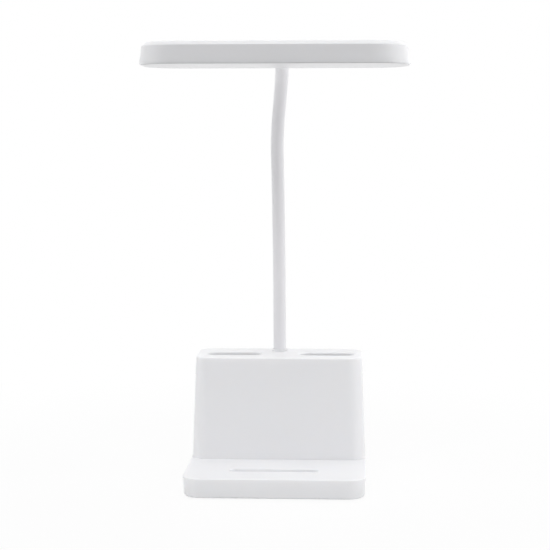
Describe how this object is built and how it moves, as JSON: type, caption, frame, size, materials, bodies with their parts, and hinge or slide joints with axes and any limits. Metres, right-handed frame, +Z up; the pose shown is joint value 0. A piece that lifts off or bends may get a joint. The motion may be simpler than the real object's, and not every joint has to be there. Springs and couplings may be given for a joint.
{
  "type": "led desk lamp",
  "caption": "Cordless LED desk lamp: gooseneck in a smooth sleeve, wide thin head, base with pen wells, a phone groove and a rear charging socket.",
  "frame": {"origin": "middle of the anti-slip mat's underside, on the desk", "axes": "+Z up, -Y towards the user, where the shelf and the lamp head point, +X to the right as seen from the front"},
  "size_m": [0.1626, 0.1672, 0.2891],
  "materials": {
    "white_moulding": "satin moulded ABS",
    "white_sleeve": "smooth matt silicone",
    "opal_diffuser": "satin opal acrylic",
    "grey_foam": "matt foam",
    "bright_steel": "zinc plated",
    "brass": "machined",
    "cell_can": "shrink film over a metal can",
    "green_board": "solder mask",
    "white_board": "white solder mask on a metal core",
    "black_plastic": "moulded",
    "red_insulation": "wire insulation",
    "clear_pipe": "clear acrylic"
  },
  "bodies": {
    "base": {"base_housing": "white_moulding", "bottom_cover": "white_moulding", "anti_slip_mat": "grey_foam", "ballast_plate": "bright_steel", "battery_cell": "cell_can", "charging_board": "green_board", "usb_socket": "bright_steel", "switch_body": "black_plastic", "charge_light_pipe": "clear_pipe", "battery_lead": "red_insulation", "lamp_lead": "black_plastic", "neck_collar_lower": "white_moulding", "neck_washer": "bright_steel", "neck_nut": "brass", "neck_sleeve_1": "white_sleeve", "neck_core_1": "bright_steel", "base_screw_1": "bright_steel", "base_screw_2": "bright_steel", "base_screw_3": "bright_steel", "base_screw_4": "bright_steel", "board_screw_1": "bright_steel", "board_screw_2": "bright_steel"},
    "button": {"power_button": "white_moulding", "switch_plunger": "black_plastic"},
    "neck_2": {"neck_sleeve_2": "white_sleeve", "neck_core_2": "bright_steel"},
    "neck_3": {"neck_sleeve_3": "white_sleeve", "neck_core_3": "bright_steel"},
    "neck_4": {"neck_sleeve_4": "white_sleeve", "neck_core_4": "bright_steel"},
    "neck_5": {"neck_sleeve_5": "white_sleeve", "neck_core_5": "bright_steel"},
    "neck_6": {"neck_sleeve_6": "white_sleeve", "neck_core_6": "bright_steel"},
    "neck_7": {"neck_sleeve_7": "white_sleeve", "neck_core_7": "bright_steel"},
    "head": {"neck_sleeve_8": "white_sleeve", "neck_core_8": "bright_steel", "head_housing": "white_moulding", "diffuser": "opal_diffuser", "led_board": "white_board", "neck_clamp": "bright_steel", "led_lead": "black_plastic", "neck_collar_upper": "white_moulding", "led_board_screw_1": "bright_steel", "led_board_screw_2": "bright_steel", "led_board_screw_3": "bright_steel", "led_board_screw_4": "bright_steel", "clamp_screw_1": "bright_steel", "clamp_screw_2": "bright_steel"}
  },
  "joints": [
    {"name": "neck_bend_low_1", "type": "hinge", "parent": "base", "child": "neck_2", "pos_m": [-0.0004, 0.0416, 0.0994], "axis": [1, 0, 0], "range_deg": [-16, 16]},
    {"name": "neck_sway_1", "type": "hinge", "parent": "neck_2", "child": "neck_3", "pos_m": [-0.0004, 0.03836, 0.13305], "axis": [0, 0.9897, 0.1431], "range_deg": [-16, 16]},
    {"name": "neck_bend_low_2", "type": "hinge", "parent": "neck_3", "child": "neck_4", "pos_m": [-0.0004, 0.03193, 0.16612], "axis": [1, 0, 0], "range_deg": [-16, 16]},
    {"name": "neck_sway_2", "type": "hinge", "parent": "neck_4", "child": "neck_5", "pos_m": [-0.0004, 0.02216, 0.19848], "axis": [0, 0.9399, 0.3415], "range_deg": [-16, 16]},
    {"name": "neck_bend_high_1", "type": "hinge", "parent": "neck_5", "child": "neck_6", "pos_m": [-0.00005, 0.00852, 0.2294], "axis": [1, 0, 0], "range_deg": [-22, 22]},
    {"name": "neck_sway_3", "type": "hinge", "parent": "neck_6", "child": "neck_7", "pos_m": [0.00289, -0.01047, 0.25715], "axis": [0, 0.7441, 0.6681], "range_deg": [-16, 16]},
    {"name": "neck_bend_high_2", "type": "hinge", "parent": "neck_7", "child": "head", "pos_m": [0.00518, -0.03739, 0.27715], "axis": [1, 0, 0], "range_deg": [-22, 22]},
    {"name": "power_button_press", "type": "slide", "parent": "base", "child": "button", "axis": [0, -1, 0], "range_m": [0, 0.0008], "stiffness_N_per_m": 800, "springref_m": -0.0005}
  ],
  "couplings": [
    {"joint": "neck_bend_low_2", "follows": "neck_bend_low_1", "ratio": 1},
    {"joint": "neck_sway_2", "follows": "neck_sway_1", "ratio": 1},
    {"joint": "neck_sway_3", "follows": "neck_sway_1", "ratio": 1},
    {"joint": "neck_bend_high_2", "follows": "neck_bend_high_1", "ratio": 1}
  ]
}
